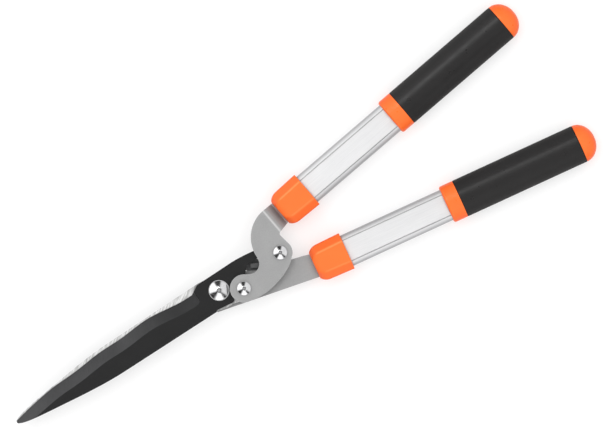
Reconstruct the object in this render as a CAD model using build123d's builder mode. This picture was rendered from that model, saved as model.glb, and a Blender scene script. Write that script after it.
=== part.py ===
"""Compound-action hedge shears, drawn closed, in millimetres.

The frame: the origin is on the main pivot's axis, at the outer face of its nut. X runs along the closed
blades, from the tips at -X to the handles at +X. Y runs across the tool, from the lower handle to the upper
one. Z points out of the front of the tool, so the sheet parts lie flat in XY and are stacked along Z.

How it works: the rear blade is bolted to the lower arm. The front blade turns on the main pivot. The upper
arm turns on its own pivot in the lower arm, and carries a roller that runs in a slot in the front blade's
tail.
"""

import os
from math import atan2, cos, hypot, radians, sin

from build123d import *

# ---- Driving dimensions ------------------------------------------------------------------------------
MAIN_PIVOT = (0.0, 0.0)
ARM_PIVOT = (22.0, -12.0)
LINK_PIN = (71.9, -1.8)
HANDLE_TRAVEL = 48.0  # degrees that the upper handle opens
BLADE_RATIO = 0.73  # degrees that the front blade turns for each degree of the handle

BLADE_T = 3.5
ARM_T = 4.0
SLIDE_GAP = 0.1  # between the two blades
LINK_GAP = 0.5  # between the front blade's tail and the upper arm
RUNNING = 0.05  # radial clearance of a running fit
SLIP = 0.02  # radial clearance of a fixed fit

# Stack along Z, from the rest face upwards.
NUT_FLOOR = 1.2
PIVOT_NUT_H = 9.5
PIVOT_WASHER_H = 1.5
Z_ARM = PIVOT_NUT_H + PIVOT_WASHER_H
Z_REAR = Z_ARM + ARM_T
Z_FRONT = Z_REAR + BLADE_T + SLIDE_GAP
Z_FRONT_TOP = Z_FRONT + BLADE_T
Z_UPPER = Z_FRONT_TOP + LINK_GAP
Z_UPPER_TOP = Z_UPPER + ARM_T
Z_HANDLE = Z_ARM + ARM_T / 2  # middle plane of both handles

# Blade, as the front blade's outline. The rear blade's working part is the same shape turned over.
BEVEL_WIDTH = 11.5
BEVEL_DROP = 3.0
BEVEL_RUNOUT = 1.4  # how far the step at the bevel's heel end leans towards the tip
BEVEL_REACH = 40.0  # how far the grinding solid reaches beyond the cutting edge
BEVEL_END = (-22.0, 1.2)
HEEL = (-25.0, 10.9)
TOP_CORNER = (-15.5, 16.5)
SPINE_END = (-14.0, -16.8)
CUTTING_EDGE = [
    HEEL,
    (-36.0, 10.9),
    (-54.0, 12.9),
    (-76.0, 15.3),
    (-98.0, 14.1),
    (-114.0, 13.3),
    (-130.0, 13.5),
    (-150.0, 12.0),
    (-169.0, 10.4),
    (-187.0, 10.0),
    (-206.0, 8.0),
    (-224.0, 5.1),
    (-239.0, 1.9),
]
TIP = (-241.0, 0.0)
REAR_LIFT = 0.5  # how far the rear blade's outline sits towards +Y
SPINE_CURVE = [(-239.0, -2.0), (-200.0, -9.3), (-160.0, -14.0), (-122.0, -16.2)]

# Tails of the blades.
TAIL_R = 11.0  # round the slot's closed end
HOOK = (16.3, -6.0)  # where the front blade's hollow for the arm pivot begins

# Pivot hardware.
MAIN_R, MAIN_HEAD_R, MAIN_HEAD_H, MAIN_SOCKET_R = 4.0, 10.4, 4.4, 2.8
PIN_R, PIN_HEAD_R, PIN_HEAD_H, PIN_SOCKET_R = 3.0, 7.2, 3.6, 2.1
CROSS_BAR, CROSS_DEPTH = 1.3, 2.2
HEAD_RIM = 0.9  # straight side of a bolt head, under its dome
HEAD_LIP = 0.07  # flat lip round the dome, as a share of the head's radius
HEAD_BREAK, TIP_CHAMFER = 0.3, 0.6
SOCKET_SLOPE, SOCKET_DEPTH = 40, 1.4  # the cross recess starts in a cone
ROLLER_R = 4.0
SLOT_R = 4.2
SPACER_R = 5.5
PIN_WASHER_R = 7.0
PIN_WASHER_H = 1.0
PIN_NUT_H = 5.0
PIN_NUT_FLATS = 10.0
MAIN_NUT_FLATS = 15.0
MAIN_WASHER_R = 9.0
RING_BREAK, NUT_CHAMFER = 0.2, 0.5
NUT_CORNER = 1.12  # radius that a nut's corners are turned to, as a share of the radius to its flats
LINK_CLEARANCE = 0.4  # between the front blade's back and the link pin's washer

# Stop bumper on the lower arm.
STOP = (43.6, 1.1)
STOP_ANGLE = -28.0
LUG = (6.0, 2.4)
LUG_TOP = 20.0
BOOT, BOOT_CORNER = (9.0, 5.1), 1.2
FLANGE, FLANGE_SHIFT, FLANGE_T, FLANGE_CORNER = (14.0, 11.0), (-2.5, 1.0), 1.4, 1.5
BOOT_TOP = Z_UPPER - 0.6
BOOT_EDGE = 0.7

# Handles: the distance along the handle's own axis is S, and each axis is a line in the XY plane.
UPPER_ANGLE, UPPER_OFFSET = 7.5, 19.1
LOWER_ANGLE, LOWER_OFFSET = -8.5, -17.4
S_FERRULE, S_SHOULDER, S_FERRULE_END = 97.0, 106.0, 132.4
S_TUBE = 104.0
S_TANG_END = 146.0
S_INSERT_END = 150.0
S_COLLAR, S_GRIP, S_CAP, S_END = 242.0, 257.0, 388.5, 405.0
S_TUBE_END = 384.0
CAP_PLUG = 14.0  # how far the end cap reaches into the tube
CAP_LEANS = (0, 20, 40, 60, 78)  # degrees up the end cap's dome, where its sections are taken
S_RIVETS = (111.0, 123.0)
S_BEND, S_BEND_END, BEND_R = 86.4, 93.6, 5.5
TANG_HALF = 12.5
ENTRY_HALF, ENTRY_LENGTH = 12.4, 2.5
ARM_END_R, LINK_END_R, TANG_CORNER, CROTCH_R = 14.0, 12.4, 3.0, 2.5
TUBE_W, TUBE_T, TUBE_CORNER, TUBE_WALL = 33.0, 17.0, 6.5, 1.6
GROOVE_AT, GROOVE_W, GROOVE_D = 11.1, 1.0, 0.9
GRIP_W, GRIP_T = 39.0, 2 * Z_HANDLE  # the grips rest on the same plane as the pivot nut
COLLAR_EDGE, COVER_EDGE = 2.4, 0.9
COVER_T, COVER_FIT = 1.0, 0.05
# Ferrule: S, half width and half thickness of each section, from its mouth to its tube end.
FERRULE_SECTIONS = [
    (S_FERRULE, 13.9, 8.4),
    (S_FERRULE + 3.2, 16.9, 10.6),
    (S_SHOULDER, 18.7, 11.8),
    (S_FERRULE_END, 19.4, 12.0),
]
FERRULE_BEVEL = (8.0, 6.0)
RIDGE_R, FLANK_R, MOUTH_R = 6.0, 4.0, 0.5
MOUTH_GAP = 0.3  # round the arm, in the ferrule's mouth
TANG_END_GAP = 0.5  # beyond the tang, in its packing
FIT = 0.1  # all round, where the moulded parts are pushed over or into the tube
RIVET_R = 2.5


# ---- Frames and shared shapes ------------------------------------------------------------------------
def handle_plane(angle, offset):
    """Plane of a handle: local x is S, local y is across the handle, at the height of its middle plane."""
    turn = radians(angle)
    origin = (-offset * sin(turn), offset * cos(turn), Z_HANDLE)
    return Plane(origin=origin, x_dir=(cos(turn), sin(turn), 0), z_dir=(0, 0, 1))


def section_plane(handle, s):
    """Plane across a handle at S: local x is across the handle, local y is up, and its normal is the axis."""
    return Plane(origin=handle.from_local_coords((s, 0, 0)), x_dir=handle.y_dir, z_dir=handle.x_dir)


def in_plan(handle, s, across):
    """XY point of a place given along and across a handle."""
    point = handle.from_local_coords((s, across, 0))
    return (point.X, point.Y)


UPPER = handle_plane(UPPER_ANGLE, UPPER_OFFSET)
LOWER = handle_plane(LOWER_ANGLE, LOWER_OFFSET)


def pin_in_blade(handle_turn):
    """Where the link pin is in the front blade's own frame, with the handle opened by that many degrees."""
    reach_x, reach_y = LINK_PIN[0] - ARM_PIVOT[0], LINK_PIN[1] - ARM_PIVOT[1]
    swing = atan2(reach_y, reach_x) + radians(handle_turn)
    x = ARM_PIVOT[0] + hypot(reach_x, reach_y) * cos(swing)
    y = ARM_PIVOT[1] + hypot(reach_x, reach_y) * sin(swing)
    back = radians(-BLADE_RATIO * handle_turn)
    return (x * cos(back) - y * sin(back), x * sin(back) + y * cos(back))


def save(part, name):
    """Labels a finished piece and writes its STEP file."""
    part.label = name
    export_step(part, f"parts/{name}.step")


# ---- Blades ------------------------------------------------------------------------------------------
def working_edges(side, lift=0.0):
    """Lines of a blade from heel to tip and back along the spine. Side is 1 for the front blade, -1 rear."""
    edge = [(x, side * y + lift) for x, y in CUTTING_EDGE]
    spine = [(x, side * y + lift) for x, y in SPINE_CURVE]
    Spline(*edge)
    ThreePointArc(edge[-1], (TIP[0], TIP[1] + lift), spine[0])
    Spline(*spine, tangents=[(0.8, -side * 0.6), (1, 0)], tangent_scalars=[0.4, 1.0])
    Line(spine[-1], (SPINE_END[0], side * SPINE_END[1] + lift))


def build_bevel_cutter(side, z_flat, z_outer):
    """Solid that grinds the bevel along the wavy cutting edge of a blade, from its outer face inwards."""
    drop = BEVEL_DROP if z_flat > z_outer else -BEVEL_DROP
    inner = [(x, side * (y - BEVEL_WIDTH)) for x, y in CUTTING_EDGE]
    beyond, past_tip = side * BEVEL_REACH, TIP[0] - BEVEL_WIDTH
    with BuildPart() as cutter:
        with BuildSketch(Plane.XY.offset(z_outer)):
            with BuildLine():
                Spline(*inner)
                Polyline(inner[-1], (past_tip, inner[-1][1]), (past_tip, beyond), (BEVEL_END[0], beyond))
                Polyline((BEVEL_END[0], beyond), (BEVEL_END[0], side * BEVEL_END[1]), inner[0])
            make_face()
        slope = (-BEVEL_RUNOUT, side * BEVEL_WIDTH, drop)
        extrude(amount=1.3 * Vector(*slope).length, dir=slope)
    return cutter.part


def build_front_blade():
    """The front blade. Its tail clears the arm pivot's spacer, is notched for the stop and is slotted."""
    sweep = [pin_in_blade(HANDLE_TRAVEL * step / 4) for step in range(5)]
    bevel = build_bevel_cutter(1, Z_FRONT, Z_FRONT_TOP)
    with BuildPart() as blade:
        with BuildSketch(Plane.XY.offset(Z_FRONT)):
            with BuildLine():
                working_edges(1)
                Polyline(SPINE_END, (-12.5, -15.4), (4.0, -17.6))
                ThreePointArc((4.0, -17.6), (6.4, -17.2), (8.0, -15.4))
                RadiusArc((8.0, -15.4), HOOK, -hypot(*HOOK))
                ThreePointArc(HOOK, (22.4, -3.8), (28.6, -7.1))
                Polyline((28.6, -7.1), (31.5, 0.2), (36.6, 5.4), (37.6, 5.7), (49.6, 5.9))
                Polyline((49.6, 5.9), (50.3, -4.0), (54.0, -8.8), (60.0, -10.9), (69.0, -12.4))
                ThreePointArc((69.0, -12.4), (LINK_PIN[0] + TAIL_R, LINK_PIN[1]), (75.0, 8.8))
                Spline((75.0, 8.8), (62.0, 12.2), (50.0, 14.3), (38.0, 15.9), (26.0, 16.7))
                Polyline((26.0, 16.7), TOP_CORNER, HEEL)
            make_face()
        extrude(amount=BLADE_T)
        add(bevel, mode=Mode.SUBTRACT)
        with BuildSketch(Plane.XY.offset(Z_FRONT)):
            with BuildLine():
                Spline(*sweep)
            trace(line_width=2 * SLOT_R)
            with Locations(sweep[0], sweep[-1]):
                Circle(SLOT_R)
            with Locations(MAIN_PIVOT):
                Circle(MAIN_R + RUNNING)
        extrude(amount=BLADE_T, mode=Mode.SUBTRACT)
    save(blade.part, "front_blade")


def build_rear_blade():
    """The rear blade, ground on its back, with a short tail clamped to the lower arm by both pivot bolts."""
    bevel = build_bevel_cutter(-1, Z_REAR + BLADE_T, Z_REAR)
    with BuildPart() as blade:
        with BuildSketch(Plane.XY.offset(Z_REAR)):
            with BuildLine():
                working_edges(-1, REAR_LIFT)
                spine_top = (SPINE_END[0], REAR_LIFT - SPINE_END[1])
                heel, corner = (HEEL[0], REAR_LIFT - HEEL[1]), (TOP_CORNER[0], REAR_LIFT - TOP_CORNER[1])
                Polyline(heel, corner, (-4.0, -18.6), (6.0, -19.4), (18.5, -22.95))
                ThreePointArc((18.5, -22.95), (33.0, -9.0), (28.9, -2.8))
                Polyline((28.9, -2.8), (12.0, 11.5), (2.0, 15.6), spine_top)
            make_face()
        extrude(amount=BLADE_T)
        add(bevel, mode=Mode.SUBTRACT)
        with BuildSketch(Plane.XY.offset(Z_REAR)):
            with Locations(MAIN_PIVOT):
                Circle(MAIN_R + SLIP)
            with Locations(ARM_PIVOT):
                Circle(PIN_R + SLIP)
        extrude(amount=BLADE_T, mode=Mode.SUBTRACT)
    save(blade.part, "rear_blade")


# ---- Arms --------------------------------------------------------------------------------------------
def tang_points(handle, upper_first):
    """Corners of an arm's tang, from one side of the ferrule's mouth to the other."""
    side = 1 if upper_first else -1
    path = [
        (S_FERRULE, side * ENTRY_HALF),
        (S_FERRULE + ENTRY_LENGTH, side * TANG_HALF),
        (S_TANG_END, side * TANG_HALF),
        (S_TANG_END, -side * TANG_HALF),
        (S_FERRULE + ENTRY_LENGTH, -side * TANG_HALF),
        (S_FERRULE, -side * ENTRY_HALF),
    ]
    return [in_plan(handle, s, across) for s, across in path]


def rivet_places(handle):
    """XY places of a handle's two tang rivets."""
    return [in_plan(handle, s, 0) for s in S_RIVETS]


def stop_plane(z):
    """Plane of the stop's lug and boot at a height, square to the face that the front blade meets."""
    turn = radians(STOP_ANGLE)
    return Plane(origin=(*STOP, z), x_dir=(cos(turn), sin(turn), 0), z_dir=(0, 0, 1))


def build_lower_arm():
    """The straight lower arm, with the upstanding lug that carries the stop bumper."""
    tang = tang_points(LOWER, True)
    stop = stop_plane(Z_ARM)
    foot = (77.0, -13.6)
    with BuildPart() as arm:
        with BuildSketch(Plane.XY.offset(Z_ARM)):
            with BuildLine():
                Polyline(*tang)
                Polyline(tang[-1], (-13.0, -17.6), (-15.0, -14.5), (-15.0, 0.0))
                RadiusArc((-15.0, 0.0), (4.0, 14.46), 15.0)
                Spline((4.0, 14.46), (18.0, 9.4), (32.0, 2.0), (40.0, -1.6), (60.0, -9.0), foot, tang[0])
            make_face()
        extrude(amount=ARM_T)
        fillet(arm.edges().filter_by(Axis.Z).group_by(Axis.X)[-1], TANG_CORNER)
        with BuildSketch(stop):
            with Locations((0, -BOOT[1] / 2)):
                Rectangle(BOOT[0] - 1, 2 * BOOT[1])
        extrude(amount=ARM_T)
        with BuildSketch(stop):
            Rectangle(*LUG)
        extrude(amount=LUG_TOP - Z_ARM)
        with BuildSketch(Plane.XY.offset(Z_ARM)):
            with Locations(MAIN_PIVOT):
                Circle(MAIN_R + SLIP)
            with Locations(ARM_PIVOT):
                Circle(PIN_R + SLIP)
            with Locations(*rivet_places(LOWER)):
                Circle(RIVET_R + SLIP)
        extrude(amount=ARM_T, mode=Mode.SUBTRACT)
    save(arm.part, "lower_arm")


def build_upper_arm():
    """The curved upper arm: a plate that steps down from the front layer to the handle's middle plane."""
    tang = tang_points(UPPER, False)
    z_top_layer = Z_UPPER + ARM_T / 2 - Z_HANDLE
    side_plane = Plane(origin=UPPER.origin, x_dir=UPPER.x_dir, z_dir=-UPPER.y_dir)
    joggle = [(-20.0, z_top_layer), (S_BEND, z_top_layer), (S_BEND_END, 0.0), (S_TANG_END + 5, 0.0)]
    hip = in_plan(UPPER, S_BEND, 12.6)
    crotch = (81.0, 14.6)
    with BuildPart() as arm:
        with BuildSketch(side_plane):
            with BuildLine():
                FilletPolyline(*joggle, radius=BEND_R)
            trace(line_width=ARM_T)
        extrude(amount=80.0, both=True)
        with BuildSketch(Plane.XY.offset(-10.0)):
            with BuildLine():
                Polyline(*tang)
                Line(tang[-1], hip)
                RadiusArc(hip, (50.0, 10.0), -34.8)
                Line((50.0, 10.0), (49.9, 6.0))
                ThreePointArc((49.9, 6.0), (45.6, -2.5), (34.0, -3.0))
                Line((34.0, -3.0), (28.6, 0.35))
                ThreePointArc((28.6, 0.35), (ARM_PIVOT[0] - ARM_END_R, ARM_PIVOT[1]), (22.8, -25.98))
                Spline((22.8, -25.98), (38.0, -27.5), (56.0, -24.2), (69.0, -19.3), (79.2, -11.8))
                ThreePointArc((79.2, -11.8), (LINK_PIN[0] + LINK_END_R, LINK_PIN[1]), (83.6, 2.3))
                Polyline((83.6, 2.3), crotch, tang[0])
            make_face()
        extrude(amount=60.0, mode=Mode.INTERSECT)
        fillet(arm.edges().filter_by(Axis.Z).group_by(Axis.X)[-1], TANG_CORNER)
        crotch_edge = arm.edges().filter_by(Axis.Z).sort_by_distance((*crotch, Z_UPPER + ARM_T / 2))[0]
        fillet(crotch_edge, CROTCH_R)
        with BuildSketch(Plane.XY.offset(Z_UPPER)):
            with Locations(ARM_PIVOT):
                Circle(PIN_R + RUNNING)
            with Locations(LINK_PIN):
                Circle(PIN_R + SLIP)
        extrude(amount=ARM_T, mode=Mode.SUBTRACT)
        with BuildSketch(Plane.XY.offset(Z_ARM)):
            with Locations(*rivet_places(UPPER)):
                Circle(RIVET_R + SLIP)
        extrude(amount=ARM_T, mode=Mode.SUBTRACT)
    save(arm.part, "upper_arm")


def build_bumper():
    """The rubber boot that is pushed over the lower arm's lug."""
    base = stop_plane(Z_REAR)
    with BuildPart() as boot:
        with BuildSketch(base):
            with Locations(FLANGE_SHIFT):
                RectangleRounded(*FLANGE, FLANGE_CORNER)
        extrude(amount=FLANGE_T)
        with BuildSketch(base):
            RectangleRounded(*BOOT, BOOT_CORNER)
        extrude(amount=BOOT_TOP - Z_REAR)
        fillet(boot.faces().sort_by(Axis.Z)[-1].edges(), BOOT_EDGE)
        with BuildSketch(base):
            Rectangle(LUG[0] + 2 * SLIP, LUG[1] + 2 * SLIP)
        extrude(amount=LUG_TOP - Z_REAR + SLIP, mode=Mode.SUBTRACT)
    save(boot.part, "stop_bumper")


# ---- Fasteners ---------------------------------------------------------------------------------------
def build_bolt(name, place, sizes, z_seat, z_end):
    """A dome-headed bolt. Sizes are the shank radius, head radius, head height and the socket's radius."""
    shank_r, head_r, head_h, socket_r = sizes
    dome_foot = head_r * (1 - HEAD_LIP)
    dome_h = head_h - HEAD_RIM
    dome_r = (dome_foot**2 + dome_h**2) / (2 * dome_h)
    tip = (shank_r, z_end + TIP_CHAMFER)
    under_rim, over_rim = (head_r, z_seat + HEAD_BREAK), (head_r, z_seat + HEAD_RIM)
    axis_plane = Plane(origin=(*place, 0), x_dir=(1, 0, 0), z_dir=(0, -1, 0))
    with BuildPart() as bolt:
        with BuildSketch(axis_plane):
            with BuildLine():
                Polyline((0, z_seat + head_h), (0, z_end), (shank_r - TIP_CHAMFER, z_end), tip)
                Polyline(tip, (shank_r, z_seat), (head_r - HEAD_BREAK, z_seat), under_rim, over_rim)
                Line(over_rim, (dome_foot, z_seat + HEAD_RIM))
                RadiusArc((dome_foot, z_seat + HEAD_RIM), (0, z_seat + head_h), -dome_r)
            make_face()
        revolve(axis=Axis((*place, 0), (0, 0, 1)))
        with BuildSketch(Plane.XY.offset(z_seat + head_h)):
            with Locations(place):
                Rectangle(2 * socket_r, CROSS_BAR)
                Rectangle(CROSS_BAR, 2 * socket_r)
        extrude(amount=-CROSS_DEPTH, mode=Mode.SUBTRACT)
        with BuildSketch(Plane.XY.offset(z_seat + head_h)):
            with Locations(place):
                Circle(socket_r)
        extrude(amount=-SOCKET_DEPTH, taper=SOCKET_SLOPE, mode=Mode.SUBTRACT)
    save(bolt.part, name)


def build_washer(name, place, outer_r, bore_r, z_low, thickness):
    """A flat washer, spacer or roller: one ring with broken edges."""
    with BuildPart() as ring:
        with BuildSketch(Plane.XY.offset(z_low)):
            with Locations(place):
                Circle(outer_r)
                Circle(bore_r, mode=Mode.SUBTRACT)
        extrude(amount=thickness)
        chamfer(ring.edges().filter_by(GeomType.CIRCLE).group_by(SortBy.RADIUS)[-1], RING_BREAK)
    save(ring.part, name)


def build_nut(name, place, flats, bore_r, z_low, height, floor):
    """A closed hexagon nut on the back of a bolt, blind from above, with its corners turned down."""
    corner_r = flats / 2 * NUT_CORNER
    with BuildPart() as nut:
        with BuildSketch(Plane.XY.offset(z_low)):
            with Locations(place):
                RegularPolygon(radius=flats / 2, side_count=6, major_radius=False)
        extrude(amount=height)
        with BuildSketch(Plane.XY.offset(z_low)):
            with Locations(place):
                Circle(corner_r)
        extrude(amount=height, mode=Mode.INTERSECT)
        chamfer(nut.faces().sort_by(Axis.Z)[0].edges(), NUT_CHAMFER)
        with BuildSketch(Plane.XY.offset(z_low + floor)):
            with Locations(place):
                Circle(bore_r)
        extrude(amount=height, mode=Mode.SUBTRACT)
    save(nut.part, name)


def build_fasteners():
    """The main pivot, the arm pivot and the link pin, each with its washer and nut."""
    main = (MAIN_R, MAIN_HEAD_R, MAIN_HEAD_H, MAIN_SOCKET_R)
    pin = (PIN_R, PIN_HEAD_R, PIN_HEAD_H, PIN_SOCKET_R)
    build_bolt("pivot_bolt", MAIN_PIVOT, main, Z_FRONT_TOP + RUNNING, NUT_FLOOR + SLIP)
    build_washer("pivot_washer", MAIN_PIVOT, MAIN_WASHER_R, MAIN_R + SLIP, PIVOT_NUT_H, PIVOT_WASHER_H)
    build_nut("pivot_nut", MAIN_PIVOT, MAIN_NUT_FLATS, MAIN_R + SLIP, 0, PIVOT_NUT_H, NUT_FLOOR)

    arm_nut_z = Z_ARM - PIN_WASHER_H - PIN_NUT_H
    build_bolt("arm_pivot_bolt", ARM_PIVOT, pin, Z_UPPER_TOP + RUNNING, arm_nut_z + NUT_FLOOR)
    arm_washer_z = Z_ARM - PIN_WASHER_H
    spacer_z = Z_REAR + BLADE_T
    spacer_h = Z_UPPER - RUNNING - spacer_z
    build_washer("arm_pivot_spacer", ARM_PIVOT, SPACER_R, PIN_R + SLIP, spacer_z, spacer_h)
    build_washer("arm_pivot_washer", ARM_PIVOT, PIN_WASHER_R, PIN_R + SLIP, arm_washer_z, PIN_WASHER_H)
    build_nut("arm_pivot_nut", ARM_PIVOT, PIN_NUT_FLATS, PIN_R + SLIP, arm_nut_z, PIN_NUT_H, NUT_FLOOR - SLIP)

    washer_z = Z_FRONT - LINK_CLEARANCE - PIN_WASHER_H
    nut_z = washer_z - PIN_NUT_H
    roller_z = washer_z + PIN_WASHER_H + RUNNING
    roller_h = Z_UPPER - RUNNING - roller_z
    build_bolt("link_bolt", LINK_PIN, pin, Z_UPPER_TOP, nut_z + NUT_FLOOR)
    build_washer("link_roller", LINK_PIN, ROLLER_R, PIN_R + RUNNING, roller_z, roller_h)
    build_washer("link_washer", LINK_PIN, PIN_WASHER_R, PIN_R + SLIP, washer_z, PIN_WASHER_H)
    build_nut("link_nut", LINK_PIN, PIN_NUT_FLATS, PIN_R + SLIP, nut_z, PIN_NUT_H, NUT_FLOOR - SLIP)


# ---- Handles -----------------------------------------------------------------------------------------
def tube_section(grow=0.0):
    """Outer outline of the tube's section: a rounded flat oval, grown evenly on every side."""
    RectangleRounded(TUBE_W + 2 * grow, TUBE_T + 2 * grow, TUBE_CORNER + grow)


def grip_section(scale=1.0, shrink=0.0):
    """The grip's oval outline, scaled and then shrunk evenly on every side."""
    Ellipse(GRIP_W / 2 * scale - shrink, GRIP_T / 2 * scale - shrink)


def ferrule_section(half_w, half_t):
    """The ferrule's section: flat faces, broad bevels and short sides, with soft corners."""
    panel, flank = half_w - FERRULE_BEVEL[0], half_t - FERRULE_BEVEL[1]
    corners = [(panel, half_t), (half_w, flank), (half_w, -flank), (panel, -half_t)]
    Polygon(*corners, *[(-x, y) for x, y in reversed(corners)], align=None)
    levels = vertices().group_by(Axis.Y)
    fillet(levels[1] + levels[2], FLANK_R)
    levels = vertices().group_by(Axis.Y)
    fillet(levels[0] + levels[-1], RIDGE_R)


def build_ferrule(handle, name):
    """The moulded ferrule over the joint of arm and tube."""
    with BuildPart() as ferrule:
        for s, half_w, half_t in FERRULE_SECTIONS[:3]:
            with BuildSketch(section_plane(handle, s)):
                ferrule_section(half_w, half_t)
        loft()
        for s, half_w, half_t in FERRULE_SECTIONS[2:]:
            with BuildSketch(section_plane(handle, s)):
                ferrule_section(half_w, half_t)
        loft(ruled=True)
        with BuildSketch(section_plane(handle, S_TUBE - FIT)):
            tube_section(FIT)
        extrude(amount=S_FERRULE_END, mode=Mode.SUBTRACT)
        with BuildSketch(section_plane(handle, S_FERRULE - 1)):
            Rectangle(2 * (TANG_HALF + MOUTH_GAP), ARM_T + 2 * MOUTH_GAP)
        extrude(amount=S_TUBE - S_FERRULE + 1, mode=Mode.SUBTRACT)
        mouth = ferrule.faces().filter_by(Plane(origin=(0, 0, 0), z_dir=handle.x_dir))
        fillet(mouth.sort_by(Axis(handle.origin, handle.x_dir))[-1].outer_wire().edges(), MOUTH_R)
    save(ferrule.part, name)


def build_tube(handle, name):
    """The aluminium tube, with two fine grooves along each flat face and holes for the tang rivets."""
    with BuildPart() as tube:
        with BuildSketch(section_plane(handle, S_TUBE)):
            tube_section()
            tube_hollow = (TUBE_W - 2 * TUBE_WALL, TUBE_T - 2 * TUBE_WALL, TUBE_CORNER - TUBE_WALL)
            RectangleRounded(*tube_hollow, mode=Mode.SUBTRACT)
            with GridLocations(2 * GROOVE_AT, TUBE_T, 2, 2):
                Rectangle(GROOVE_W, 2 * GROOVE_D, mode=Mode.SUBTRACT)
        extrude(amount=S_TUBE_END - S_TUBE)
        with BuildSketch(handle.offset(-TUBE_T)):
            with Locations(*[(s, 0) for s in S_RIVETS]):
                Circle(RIVET_R + SLIP)
        extrude(amount=2 * TUBE_T, mode=Mode.SUBTRACT)
    save(tube.part, name)


def build_insert(handle, name):
    """The plastic packing that holds the tang in the middle of the tube."""
    width, thick = TUBE_W - 2 * TUBE_WALL, TUBE_T - 2 * TUBE_WALL
    with BuildPart() as insert:
        with BuildSketch(section_plane(handle, S_TUBE)):
            RectangleRounded(width - FIT, thick - FIT, TUBE_CORNER - TUBE_WALL)
        extrude(amount=S_INSERT_END - S_TUBE)
        with BuildSketch(section_plane(handle, S_TUBE)):
            Rectangle(2 * TANG_HALF + FIT, ARM_T + FIT)
        extrude(amount=S_TANG_END + TANG_END_GAP - S_TUBE, mode=Mode.SUBTRACT)
        with BuildSketch(handle.offset(-TUBE_T)):
            with Locations(*[(s, 0) for s in S_RIVETS]):
                Circle(RIVET_R + SLIP)
        extrude(amount=2 * TUBE_T, mode=Mode.SUBTRACT)
    save(insert.part, name)


def build_rivets(handle, name):
    """Two flush rivets through tube, packing and tang, hidden by the ferrule."""
    with BuildPart() as rivets:
        with BuildSketch(handle.offset(-TUBE_T / 2)):
            with Locations(*[(s, 0) for s in S_RIVETS]):
                Circle(RIVET_R)
        extrude(amount=TUBE_T)
    save(rivets.part, name)


def build_grip_core(handle, name):
    """The hard core of the grip: a broad collar in front and a thin sleeve under the soft cover."""
    with BuildPart() as core:
        with BuildSketch(section_plane(handle, S_COLLAR)):
            grip_section()
        extrude(amount=S_GRIP - S_COLLAR)
        fillet(core.faces().sort_by(Axis(handle.origin, handle.x_dir))[0].edges(), COLLAR_EDGE)
        with BuildSketch(section_plane(handle, S_GRIP - 1)):
            grip_section(shrink=COVER_T)
        extrude(amount=S_TUBE_END - S_GRIP + 1)
        with BuildSketch(section_plane(handle, S_COLLAR - 1)):
            tube_section(FIT)
        extrude(amount=S_END, mode=Mode.SUBTRACT)
    save(core.part, name)


def build_soft_cover(handle, name):
    """The soft oval cover of the grip, round the core's sleeve."""
    with BuildPart() as cover:
        with BuildSketch(section_plane(handle, S_GRIP + FIT)):
            grip_section()
        extrude(amount=S_CAP - S_GRIP - 2 * FIT)
        ends = cover.faces().filter_by(Plane(origin=(0, 0, 0), z_dir=handle.x_dir))
        fillet(ends.edges(), COVER_EDGE)
        with BuildSketch(section_plane(handle, S_GRIP)):
            grip_section(shrink=COVER_T - COVER_FIT)
        extrude(amount=S_CAP - S_GRIP, mode=Mode.SUBTRACT)
    save(cover.part, name)


def build_end_cap(handle, name):
    """The domed end cap, with a plug that is pushed into the tube."""
    length = S_END - S_CAP
    bore = 2 * (TUBE_WALL + FIT)
    plug = (TUBE_W - bore, TUBE_T - bore, TUBE_CORNER - TUBE_WALL)
    with BuildPart() as cap:
        for lean in CAP_LEANS:
            with BuildSketch(section_plane(handle, S_CAP + length * sin(radians(lean)))):
                grip_section(scale=cos(radians(lean)))
        loft()
        with BuildSketch(section_plane(handle, S_TUBE_END - CAP_PLUG)):
            RectangleRounded(*plug)
        extrude(amount=S_CAP - S_TUBE_END + CAP_PLUG)
    save(cap.part, name)


def build_handle(handle, side):
    """Every piece of one handle beyond its arm."""
    build_ferrule(handle, f"{side}_ferrule")
    build_tube(handle, f"{side}_tube")
    build_insert(handle, f"{side}_tang_packing")
    build_rivets(handle, f"{side}_tang_rivets")
    build_grip_core(handle, f"{side}_grip_core")
    build_soft_cover(handle, f"{side}_grip_cover")
    build_end_cap(handle, f"{side}_end_cap")


os.makedirs("parts", exist_ok=True)
build_front_blade()
build_rear_blade()
build_lower_arm()
build_upper_arm()
build_bumper()
build_fasteners()
build_handle(UPPER, "upper")
build_handle(LOWER, "lower")
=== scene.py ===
"""Hedge shears on a pale studio floor, seen square from the front. Metres, in the model's own frame."""

import math

import bpy
from mathutils import Matrix, Vector


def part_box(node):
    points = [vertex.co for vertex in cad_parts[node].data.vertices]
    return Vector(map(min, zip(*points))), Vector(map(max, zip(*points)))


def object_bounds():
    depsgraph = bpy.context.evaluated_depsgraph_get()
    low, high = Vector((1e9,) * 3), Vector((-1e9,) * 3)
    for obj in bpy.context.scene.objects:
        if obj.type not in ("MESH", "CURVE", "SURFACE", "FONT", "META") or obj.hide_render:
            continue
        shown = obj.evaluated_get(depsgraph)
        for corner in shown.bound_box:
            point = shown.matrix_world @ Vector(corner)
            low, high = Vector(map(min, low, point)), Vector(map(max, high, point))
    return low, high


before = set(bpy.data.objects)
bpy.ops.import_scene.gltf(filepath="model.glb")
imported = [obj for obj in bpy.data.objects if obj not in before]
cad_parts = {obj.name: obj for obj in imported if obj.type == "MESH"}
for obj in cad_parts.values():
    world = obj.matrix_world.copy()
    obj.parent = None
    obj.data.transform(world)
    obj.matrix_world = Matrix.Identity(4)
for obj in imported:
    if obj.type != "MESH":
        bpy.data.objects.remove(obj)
low_before, high_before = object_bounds()

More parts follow.
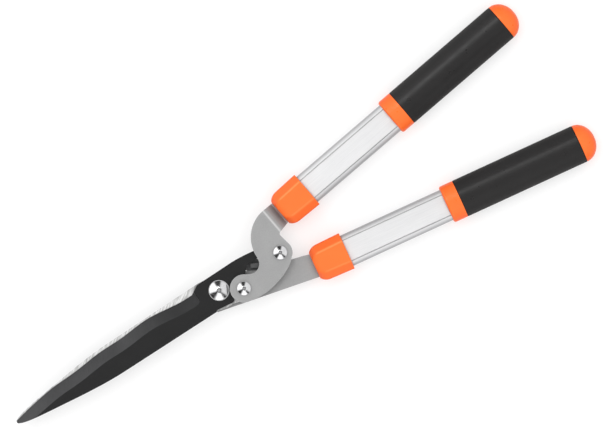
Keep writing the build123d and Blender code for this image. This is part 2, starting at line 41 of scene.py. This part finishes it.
SIDES = ("upper", "lower")
ORANGE = (0.95, 0.172, 0.025)
# Painted light on the orange plastic: a lighter orange for highlights on ridges, a deeper one for shade on
# slanted sides.
ORANGE_RIDGE_HIGHLIGHT = (1.0, 0.27, 0.075)
ORANGE_SIDE_SHADE = (0.86, 0.115, 0.014)
COATING = (0.0062, 0.0062, 0.0065)
COATING_SPECKLE = (0.011, 0.011, 0.0114)
BEVEL_GREY = (0.037, 0.037, 0.0385)
BEVEL_LINES = (0.044, 0.044, 0.0455)
BEVEL_TIP = (0.052, 0.052, 0.053)
BEVEL_HEEL = (0.020, 0.020, 0.0208)
BEVEL_FACING = 0.967  # upward part of the bevel's normal
GROUND_STEEL = (0.80, 0.80, 0.795)
GROUND_LINES = (0.44, 0.44, 0.435)
BLADE_RIM = (0.10, 0.10, 0.10)
ARM_GREY = (0.375, 0.375, 0.375)
ARM_METALLIC = 0.45
ARM_GRAIN = (0.27, 0.27, 0.27)
ARM_LINES = (0.38, 0.38, 0.38)
# Painted light on the arms: a highlight on the bend's crest, shade on its slope and highlights on the edges.
ARM_CREST_HIGHLIGHT = (0.60, 0.60, 0.60)
ARM_BEND_SHADE = (0.27, 0.285, 0.29)
ARM_EDGE_HIGHLIGHT = (0.72, 0.72, 0.72)
CHROME = (0.80, 0.80, 0.81)
ZINC = (0.33, 0.33, 0.34)
RIVET_STEEL = (0.5, 0.5, 0.5)
ALUMINIUM = (0.785, 0.785, 0.79)
ALUMINIUM_LINES = (0.62, 0.62, 0.63)
# Painted shade on the tubes' rounded sides.
ALUMINIUM_SIDE_SHADE = (0.34, 0.34, 0.35)
PACKING_BLACK = (0.04, 0.04, 0.04)
BUMPER_BLACK = (0.07, 0.07, 0.071)
GRIP_BLACK = (0.013, 0.0122, 0.0122)
DUST = (0.028, 0.027, 0.027)
SIDE_ROUGHNESS = 0.62  # of the rubbers, where they turn away from the front

# Studio reflections: centre and half width of each bright panel round the picture, in degrees, and its level.
PANELS = ((161.0, 37.0, 1.5), (272.0, 29.0, 1.4), (22.0, 56.0, 0.9))
PANEL_SOFTNESS = 7.0
DARK_LEVEL = 0.03
OVERHEAD_FROM, OVERHEAD_FULL, OVERHEAD_LEVEL = 0.93, 0.985, 0.62
# A bright strip high up, fading from its middle: middle and reach in degrees, height, reach in height, level.
STRIP_MIDDLE, STRIP_HALF = 122.0, 50.0
STRIP_HEIGHT, STRIP_THICKNESS, STRIP_LEVEL = 0.915, 0.05, 7.0
WORLD_STRENGTH = 0.95
SHEEN = 0.35  # how much the plastics, rubbers and coatings reflect

VIEW_TURN = math.radians(33.2)  # how far the blades' line leans from the picture's level
VIEW_SPAN = 0.615  # width of what the camera sees, at the handles' middle plane
VIEW_CENTRE = (0.1146, 0.0138)
LENS, SENSOR = 300.0, 36.0
FLOOR_HALF, FLOOR_DROP = 6.0, 0.0005
FLOOR_GREY, FLOOR_GLOW = (0.50, 0.50, 0.50), 0.5
LAMP_SIZE = (1.8, 1.4)
KEY_FROM, KEY_POWER = (-0.2, 0.7, 1.6), 9.0
FILL_FROM, FILL_POWER = (0.3, -0.9, 1.5), 4.0


# ---- Node networks ---------------------------------------------------------------------------------
class Look:
    """One procedural material, with the node patterns that the materials share."""

    def __init__(self, name, color, roughness, metallic=0.0):
        self.material = bpy.data.materials.new(name)
        self.material.use_nodes = True
        self.tree = self.material.node_tree
        self.surface = self.tree.nodes["Principled BSDF"]
        self.color = color
        self.put(self.surface, "Base Color", (*color, 1.0))
        self.put(self.surface, "Roughness", roughness)
        self.put(self.surface, "Metallic", metallic)
        self.put(self.surface, "Specular IOR Level", SHEEN)

    def put(self, node, socket, value):
        """Gives an input a fixed value, or joins it to another node's output."""
        if isinstance(value, bpy.types.NodeSocket):
            self.tree.links.new(value, node.inputs[socket])
        else:
            node.inputs[socket].default_value = value

    def node(self, kind, inputs=None, **settings):
        """Makes a node, with its settings and its inputs."""
        made = self.tree.nodes.new(kind)
        for name, value in settings.items():
            setattr(made, name, value)
        for socket, value in (inputs or {}).items():
            self.put(made, socket, value)
        return made

    def math(self, operation, first, second=0.0):
        """One step of arithmetic on numbers or outputs."""
        return self.node("ShaderNodeMath", {0: first, 1: second}, operation=operation).outputs[0]

    def place(self, turn=0.0, stretch=(1.0, 1.0, 1.0)):
        """Position on the piece, turned about Z and stretched. It moves with the piece."""
        where = self.node("ShaderNodeTexCoord").outputs["Object"]
        inputs = {"Vector": where, "Angle": -turn}
        turned = self.node("ShaderNodeVectorRotate", inputs, rotation_type="Z_AXIS")
        scaled = self.node("ShaderNodeMapping", {"Vector": turned.outputs[0], "Scale": stretch})
        return scaled.outputs[0]

    def noise(self, place, scale, detail=3.0, roughness=0.55):
        """A soft random pattern from 0 to 1."""
        inputs = {"Vector": place, "Scale": scale, "Detail": detail, "Roughness": roughness}
        return self.node("ShaderNodeTexNoise", inputs).outputs["Fac"]

    def ramp(self, value, low, high, low_out=0.0, high_out=1.0):
        """A value spread from one range to another and held at its ends."""
        inputs = {"Value": value, "From Min": low, "From Max": high, "To Min": low_out, "To Max": high_out}
        return self.node("ShaderNodeMapRange", inputs, clamp=True).outputs[0]

    def mix(self, factor, first, second):
        """A colour between two colours."""
        node = self.node("ShaderNodeMix", data_type="RGBA")
        self.put(node, "Factor", factor)
        for index, value in ((6, first), (7, second)):
            if isinstance(value, bpy.types.NodeSocket):
                self.tree.links.new(value, node.inputs[index])
            else:
                node.inputs[index].default_value = (*value, 1.0)
        return node.outputs[2]

    def facing(self):
        """The true normal's three parts, in the piece's own frame."""
        normal = self.node("ShaderNodeNewGeometry").outputs["True Normal"]
        own = self.node(
            "ShaderNodeVectorTransform",
            {"Vector": normal},
            vector_type="NORMAL",
            convert_from="WORLD",
            convert_to="OBJECT",
        )
        return self.node("ShaderNodeSeparateXYZ", {0: own.outputs[0]}).outputs

    def rounded_edge_mask(self, radius):
        """From 0 on open faces to 1 on edges, from how far rounding would bend the normal."""
        rounded = self.node("ShaderNodeBevel", {"Radius": radius}, samples=6).outputs[0]
        true = self.node("ShaderNodeNewGeometry").outputs["True Normal"]
        dot = self.node("ShaderNodeVectorMath", {0: rounded, 1: true}, operation="DOT_PRODUCT")
        return self.ramp(dot.outputs["Value"], 0.995, 0.85, 0.0, 1.0)

    def shade(self, color, reach, floor):
        """Painted shade: a colour darkened where other pieces stand close over it, down to a share of itself.
        """
        open_sky = self.node("ShaderNodeAmbientOcclusion", {"Distance": reach}, samples=8).outputs["AO"]
        share = self.ramp(open_sky, 0.0, 1.0, floor, 1.0)
        return self.node("ShaderNodeVectorMath", {0: color, "Scale": share}, operation="SCALE").outputs[0]

    def vary(self, place, scale, amount):
        """Uneven colour: the base colour darkened and lightened in soft patches."""
        patch = self.ramp(self.noise(place, scale, 5.0), 0.3, 0.7)
        dark = tuple(c * (1 - amount) for c in self.color)
        light = tuple(min(1.0, c * (1 + amount)) for c in self.color)
        return self.mix(patch, dark, light)

    def bump(self, height, distance, strength):
        """Fine relief on the surface."""
        inputs = {"Height": height, "Distance": distance, "Strength": strength}
        return self.node("ShaderNodeBump", inputs).outputs[0]

    def rough(self, place, scale, low, high):
        """Uneven sheen."""
        self.put(self.surface, "Roughness", self.ramp(self.noise(place, scale, 4.0), 0.3, 0.7, low, high))

    def wear_on(self, *names):
        """Gives this material to pieces of the frame."""
        for name in names:
            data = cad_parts[name].data
            data.materials.clear()
            data.materials.append(self.material)


# ---- Where things are, read from the frame -------------------------------------------------------
def middle(node):
    """Centre of a node's box."""
    low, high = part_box(node)
    return (low + high) / 2


def handle_turn(side):
    """Angle of a handle's axis about Z."""
    reach = middle(f"{side}_end_cap") - middle(f"{side}_ferrule")
    return math.atan2(reach.y, reach.x)


# ---- Materials -------------------------------------------------------------------------------------
def blade_look(name, outer):
    """A coated blade, ground bright inside, with painted shade where other pieces stand close over it. Outer
    is 1 if the coated face looks along +Z, else -1.
    """
    look = Look(name, COATING, 0.38, 0.0)
    here = look.place()
    up = look.facing()["Z"]
    outward = look.math("MULTIPLY", up, float(outer))
    coated = look.ramp(outward, -0.6, -0.4)
    off_bevel = look.math("ABSOLUTE", look.math("SUBTRACT", outward, BEVEL_FACING))
    slanted = look.math("LESS_THAN", off_bevel, 0.02)
    rim = look.math("LESS_THAN", look.math("ABSOLUTE", up), 0.6)

    speckle = look.noise(here, 2600.0, 2.0)
    coating = look.mix(look.ramp(speckle, 0.55, 0.75), COATING, COATING_SPECKLE)
    grind_lines = look.noise(look.place(math.radians(62), (1.0, 26.0, 1.0)), 130.0, 4.0)
    along = look.node("ShaderNodeSeparateXYZ", {0: here}).outputs["X"]
    bevel = look.mix(look.ramp(grind_lines, 0.35, 0.65), BEVEL_GREY, BEVEL_LINES)
    bevel = look.mix(look.ramp(along, -0.20, -0.235), bevel, BEVEL_TIP)
    bevel = look.mix(look.ramp(along, -0.10, -0.05), bevel, BEVEL_HEEL)
    cross = look.noise(look.place(math.radians(40), (1.0, 7.0, 1.0)), 90.0, 4.0)
    ground = look.mix(look.ramp(cross, 0.36, 0.62), GROUND_LINES, GROUND_STEEL)
    front = look.mix(slanted, coating, bevel)
    face = look.mix(coated, ground, front)
    edged = look.mix(look.math("MULTIPLY", rim, 0.5), face, BLADE_RIM)
    # Painted shade where other pieces stand close over the blade, as along the front blade's edge on the rear
    # one.
    look.put(look.surface, "Base Color", look.shade(edged, 0.004, 0.5))

    bare = look.math("SUBTRACT", 1.0, coated)
    plain = look.math("MULTIPLY", bare, 0.4)
    look.put(look.surface, "Metallic", look.math("MAXIMUM", plain, look.math("MULTIPLY", slanted, 0.35)))
    sheen = look.ramp(look.noise(here, 60.0, 5.0), 0.3, 0.7, 0.34, 0.46)
    look.put(look.surface, "Roughness", look.math("SUBTRACT", sheen, look.math("MULTIPLY", bare, 0.06)))
    relief = look.math("ADD", look.math("MULTIPLY", speckle, coated), look.math("MULTIPLY", cross, bare))
    look.put(look.surface, "Normal", look.bump(relief, 0.00006, 0.35))
    return look


def arm_look():
    """Satin plated sheet steel: faint rolling lines, fine grain, a painted highlight on the bend's crest,
    painted shade on its slope, which is also less metallic, painted highlights on the edges and painted shade
    where pieces stand close over it.
    """
    look = Look("arm_steel", ARM_GREY, 0.42, ARM_METALLIC)
    here = look.place()
    lines = look.noise(look.place(math.radians(-14), (1.0, 30.0, 30.0)), 60.0, 4.0)
    grain = look.noise(here, 750.0, 3.0, 0.7)
    base = look.vary(here, 55.0, 0.05)
    base = look.mix(look.ramp(grain, 0.35, 0.65, 0.0, 0.30), base, ARM_GRAIN)
    lined = look.mix(look.ramp(lines, 0.35, 0.7, 0.0, 0.3), base, ARM_LINES)
    up = look.math("ABSOLUTE", look.facing()["Z"])
    # Painted highlight along the crest of the bend, where the normal first tilts.
    crest_highlight = look.math("MULTIPLY", look.ramp(up, 0.9995, 0.99), look.ramp(up, 0.90, 0.97))
    slope = look.math("MULTIPLY", look.ramp(up, 0.90, 0.62), look.ramp(up, 0.2, 0.4))
    crest_lit = look.mix(crest_highlight, lined, ARM_CREST_HIGHLIGHT)
    # Painted shade on the bend's slope, a little bluish.
    bend_shaded = look.mix(look.math("MULTIPLY", slope, 0.75), crest_lit, ARM_BEND_SHADE)
    duller = look.math("MULTIPLY", slope, ARM_METALLIC)
    look.put(look.surface, "Metallic", look.math("SUBTRACT", ARM_METALLIC, duller))
    # Painted highlight on the rounded edges.
    edge_lit = look.mix(look.math("MULTIPLY", look.rounded_edge_mask(0.0009), 0.55), bend_shaded, ARM_EDGE_HIGHLIGHT)
    # Painted shade where other pieces stand close over the arm, as under the upper arm's edge.
    look.put(look.surface, "Base Color", look.shade(edge_lit, 0.007, 0.55))
    look.rough(here, 90.0, 0.36, 0.50)
    look.put(look.surface, "Normal", look.bump(grain, 0.00005, 0.35))
    return look


def chrome_look():
    """Bright plating with faint turning marks and painted shade in the hollows."""
    look = Look("bolt_chrome", CHROME, 0.16, 1.0)
    here = look.place()
    # Painted shade in the recesses and hollows.
    look.put(look.surface, "Base Color", look.shade(look.vary(here, 300.0, 0.06), 0.0018, 0.05))
    look.rough(here, 500.0, 0.12, 0.24)
    look.put(look.surface, "Normal", look.bump(look.noise(here, 1500.0, 2.0), 0.00003, 0.2))
    return look


def zinc_look(name, color):
    """Dull zinc for the fasteners that stay hidden."""
    look = Look(name, color, 0.5, 0.9)
    here = look.place()
    look.put(look.surface, "Base Color", look.vary(here, 260.0, 0.12))
    look.put(look.surface, "Normal", look.bump(look.noise(here, 1200.0, 3.0), 0.00005, 0.3))
    return look


def orange_look(name, roughness, ridge_highlight):
    """Moulded orange plastic, with painted shade on its slanted sides and a painted highlight on its ridges.
    The last argument sets how strong that ridge highlight is.
    """
    look = Look(name, ORANGE, roughness)
    here = look.place()
    up = look.math("ABSOLUTE", look.facing()["Z"])
    # Painted shade: slanted sides are darkened toward a deeper orange.
    slant = look.ramp(up, 0.97, 0.55)
    across = look.facing()["Y"]
    level = look.math("SQRT", look.math("SUBTRACT", 1.0001, look.math("MULTIPLY", up, up)))
    lateral = look.math("DIVIDE", across, level)
    sideways = look.ramp(look.math("ABSOLUTE", lateral), 0.6, 0.95)
    # Painted highlight on the ridges: full on sideways ridges that face +Y, half on those that face -Y.
    lit = look.math("MULTIPLY", sideways, look.ramp(lateral, -0.9, 0.9, 0.5, 1.0))
    rim = look.math("MULTIPLY", look.ramp(up, 0.9995, 0.985), look.ramp(up, 0.88, 0.96, 0.0, ridge_highlight))
    base = look.mix(look.math("MULTIPLY", rim, lit), look.vary(here, 40.0, 0.03), ORANGE_RIDGE_HIGHLIGHT)
    look.put(look.surface, "Base Color", look.mix(slant, base, ORANGE_SIDE_SHADE))
    look.rough(here, 160.0, roughness - 0.04, roughness + 0.06)
    look.put(look.surface, "Normal", look.bump(look.noise(here, 1400.0, 2.0), 0.00006, 0.3))
    look.put(look.surface, "Subsurface Weight", 0.04)
    look.put(look.surface, "Subsurface Scale", 0.001)
    return look


def packing_look():
    """Plain dark plastic for the packing inside the tubes."""
    look = Look("packing_plastic", PACKING_BLACK, 0.6)
    here = look.place()
    look.put(look.surface, "Base Color", look.vary(here, 200.0, 0.15))
    look.put(look.surface, "Normal", look.bump(look.noise(here, 900.0, 2.0), 0.00008, 0.4))
    return look


def rubber_look(name, color, roughness):
    """Soft black rubber with a fine stipple, faint dust and painted shade where pieces stand close over it.
    """
    look = Look(name, color, roughness)
    here = look.place()
    dust = look.ramp(look.noise(here, 500.0, 6.0, 0.7), 0.6, 0.85, 0.0, 0.25)
    dusty = look.mix(dust, look.vary(here, 30.0, 0.08), DUST)
    # Painted shade where other pieces stand close over the rubber, as at the joint with the collar.
    look.put(look.surface, "Base Color", look.shade(dusty, 0.002, 0.3))
    up = look.math("ABSOLUTE", look.facing()["Z"])
    uneven = look.ramp(look.noise(here, 120.0, 4.0), 0.3, 0.7, -0.03, 0.05)
    turned_away = look.ramp(up, 0.97, 0.88, roughness, SIDE_ROUGHNESS)
    look.put(look.surface, "Roughness", look.math("ADD", uneven, turned_away))
    look.put(look.surface, "Normal", look.bump(look.noise(here, 2400.0, 2.0), 0.00004, 0.25))
    return look


def tube_look(side):
    """Aluminium extrusion: long drawing lines, a soft sheen, painted shade on its rounded sides and in its
    grooves and beside other pieces. It follows one handle's own axis.
    """
    look = Look(f"tube_aluminium_{side}", ALUMINIUM, 0.36, 0.35)
    turn = handle_turn(side)
    here = look.place(turn)
    drawn = look.noise(look.place(turn, (1.0, 60.0, 60.0)), 40.0, 5.0)
    base = look.vary(here, 25.0, 0.02)
    lined = look.mix(look.ramp(drawn, 0.3, 0.75, 0.0, 0.5), base, ALUMINIUM_LINES)
    up = look.math("ABSOLUTE", look.facing()["Z"])
    # Painted shade: the rounded sides are darkened as they turn away from the front.
    side_shaded = look.mix(look.ramp(up, 0.985, 0.6, 0.0, 0.9), lined, ALUMINIUM_SIDE_SHADE)
    # Painted shade in the grooves and beside other pieces.
    look.put(look.surface, "Base Color", look.shade(side_shaded, 0.0015, 0.25))
    look.rough(here, 80.0, 0.32, 0.42)
    look.put(look.surface, "Normal", look.bump(drawn, 0.00004, 0.3))
    look.put(look.surface, "Anisotropic", 0.4)
    return look


def dress_pieces():
    """Gives every piece of the frame its material."""
    blade_look("blade_coating", 1).wear_on("front_blade")
    blade_look("ground_steel", -1).wear_on("rear_blade")
    arm_look().wear_on("upper_arm", "lower_arm")
    hardware = [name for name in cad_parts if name.startswith(("pivot_", "arm_pivot_", "link_"))]
    bolts = [name for name in hardware if name.endswith("_bolt")]
    others = [name for name in hardware if name not in bolts]
    chrome_look().wear_on(*bolts)
    zinc_look("nut_zinc", ZINC).wear_on(*others)
    rubber_look("bumper_rubber", BUMPER_BLACK, 0.35).wear_on("stop_bumper")
    ferrule = orange_look("ferrule_plastic", 0.42, 0.85)
    orange = orange_look("orange_plastic", 0.30, 0.0)
    packing = packing_look()
    grip = rubber_look("grip_rubber", GRIP_BLACK, 0.30)
    rivet = zinc_look("rivet_steel", RIVET_STEEL)
    for side in SIDES:
        ferrule.wear_on(f"{side}_ferrule")
        orange.wear_on(f"{side}_grip_core", f"{side}_end_cap")
        tube_look(side).wear_on(f"{side}_tube")
        packing.wear_on(f"{side}_tang_packing")
        rivet.wear_on(f"{side}_tang_rivets")
        grip.wear_on(f"{side}_grip_cover")


# ---- Studio ----------------------------------------------------------------------------------------
def build_floor():
    """A wide pale floor just under the resting plane."""
    look = Look("studio_floor", FLOOR_GREY, 0.9)
    look.put(look.surface, "Emission Color", (1.0, 1.0, 1.0, 1.0))
    look.put(look.surface, "Emission Strength", FLOOR_GLOW)
    look.put(look.surface, "Base Color", look.vary(look.place(), 3.0, 0.004))
    level = low_before.z - FLOOR_DROP
    signs = ((-1, -1), (1, -1), (1, 1), (-1, 1))
    corners = [(x * FLOOR_HALF, y * FLOOR_HALF, level) for x, y in signs]
    mesh = bpy.data.meshes.new("studio_floor")
    mesh.from_pydata(corners, [], [(0, 1, 2, 3)])
    mesh.materials.append(look.material)
    floor = bpy.data.objects.new("studio_floor", mesh)
    bpy.context.scene.collection.objects.link(floor)


def build_world():
    """Even white light. Reflections see bright panels round the tool, dark gaps between and grey above."""
    world = bpy.data.worlds.new("studio")
    bpy.context.scene.world = world
    world.use_nodes = True
    tree = world.node_tree
    background = tree.nodes["Background"]

    def step(operation, *values):
        """One step of arithmetic on numbers or outputs."""
        node = tree.nodes.new("ShaderNodeMath")
        node.operation = operation
        for index, value in enumerate(values):
            if isinstance(value, bpy.types.NodeSocket):
                tree.links.new(value, node.inputs[index])
            else:
                node.inputs[index].default_value = value
        return node.outputs[0]

    def spread(value, low, high):
        """A value spread from a range to 0 to 1, and held at its ends."""
        node = tree.nodes.new("ShaderNodeMapRange")
        tree.links.new(value, node.inputs["Value"])
        node.inputs["From Min"].default_value = low
        node.inputs["From Max"].default_value = high
        return node.outputs[0]

    def turn_from(degrees):
        """How far round the picture a ray is from a direction, in radians."""
        apart = step("WRAP", step("SUBTRACT", around, math.radians(degrees)), math.pi, -math.pi)
        return step("ABSOLUTE", apart)

    split = tree.nodes.new("ShaderNodeSeparateXYZ")
    tree.links.new(tree.nodes.new("ShaderNodeTexCoord").outputs["Generated"], split.inputs[0])
    around = step("ADD", step("ARCTAN2", split.outputs["Y"], split.outputs["X"]), VIEW_TURN)
    level = DARK_LEVEL
    soft = math.radians(PANEL_SOFTNESS)
    for centre, half, brightness in PANELS:
        inside = spread(turn_from(centre), math.radians(half) + soft, math.radians(half) - soft)
        level = step("ADD", level, step("MULTIPLY", inside, brightness))
    overhead = spread(split.outputs["Z"], OVERHEAD_FROM, OVERHEAD_FULL)
    off_strip = step("ABSOLUTE", step("SUBTRACT", split.outputs["Z"], STRIP_HEIGHT))
    strip = spread(turn_from(STRIP_MIDDLE), math.radians(STRIP_HALF), 0.0)
    strip = step("MULTIPLY", strip, spread(off_strip, STRIP_THICKNESS, 0.0))
    level = step("MULTIPLY", level, step("SUBTRACT", 1.0, overhead))
    level = step("ADD", level, step("MULTIPLY", overhead, OVERHEAD_LEVEL))
    level = step("ADD", level, step("MULTIPLY", strip, STRIP_LEVEL))
    glossy = tree.nodes.new("ShaderNodeLightPath").outputs["Is Glossy Ray"]
    seen = step("ADD", step("MULTIPLY", glossy, level), step("SUBTRACT", 1.0, glossy))
    tree.links.new(seen, background.inputs[0])
    background.inputs[1].default_value = WORLD_STRENGTH


def build_light(name, place, target, power):
    """One broad soft lamp that looks at a target."""
    lamp = bpy.data.lights.new(name, "AREA")
    lamp.shape = "RECTANGLE"
    lamp.size, lamp.size_y = LAMP_SIZE
    lamp.energy = power
    holder = bpy.data.objects.new(name, lamp)
    holder.location = place
    holder.rotation_mode = "QUATERNION"
    holder.rotation_quaternion = (Vector(target) - Vector(place)).to_track_quat("-Z", "Y")
    holder.visible_glossy = False
    bpy.context.scene.collection.objects.link(holder)


def build_lights(centre):
    """A broad key lamp beyond the picture's top left, and a weaker fill opposite."""
    build_light("key", centre + Vector(KEY_FROM), centre, KEY_POWER)
    build_light("fill", centre + Vector(FILL_FROM), centre, FILL_POWER)


def build_camera(centre):
    """The camera looks straight down on the laid tool, turned so that the tips are at the lower left."""
    data = bpy.data.cameras.new("camera")
    data.lens = LENS
    data.sensor_width = SENSOR
    camera = bpy.data.objects.new("camera", data)
    right = Vector((math.cos(VIEW_TURN), -math.sin(VIEW_TURN), 0.0))
    up = Vector((math.sin(VIEW_TURN), math.cos(VIEW_TURN), 0.0))
    away = VIEW_SPAN * LENS / SENSOR
    place = Matrix((right, up, Vector((0.0, 0.0, 1.0)))).transposed().to_4x4()
    place.translation = centre + Vector((0.0, 0.0, away))
    camera.matrix_world = place
    data.clip_start, data.clip_end = away * 0.05, away * 20
    bpy.context.scene.collection.objects.link(camera)
    bpy.context.scene.camera = camera


dress_pieces()
view_centre = Vector((*VIEW_CENTRE, middle("upper_tube").z))
build_floor()
build_world()
build_lights(view_centre)
build_camera(view_centre)
bpy.context.scene.view_settings.view_transform = "Standard"
